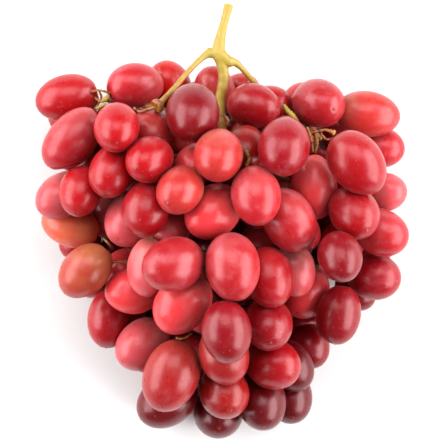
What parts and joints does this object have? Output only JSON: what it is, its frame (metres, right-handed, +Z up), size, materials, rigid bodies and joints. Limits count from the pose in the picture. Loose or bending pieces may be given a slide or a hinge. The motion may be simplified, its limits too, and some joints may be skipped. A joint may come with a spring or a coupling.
{
  "type": "bunch of grapes",
  "caption": "Full bunch of red table grapes lying on its back, with plump oval berries packed round a forked yellow-green stem.",
  "frame": {"origin": "centre of the overall bounding box in X and Y, on the table that the bunch lies on", "axes": "+Y along the bunch towards the cut end of its stem, +Z up from the table, +X to the right as the camera sees the bunch"},
  "size_m": [0.1582, 0.1836, 0.0888],
  "materials": {
    "berry_skin": "satin red skin with a waxy bloom",
    "green_stem": "smooth yellow-green stem, browning at its joints"
  },
  "bodies": {
    "root": {"berries": "berry_skin", "stem": "green_stem"}
  },
  "joints": []
}
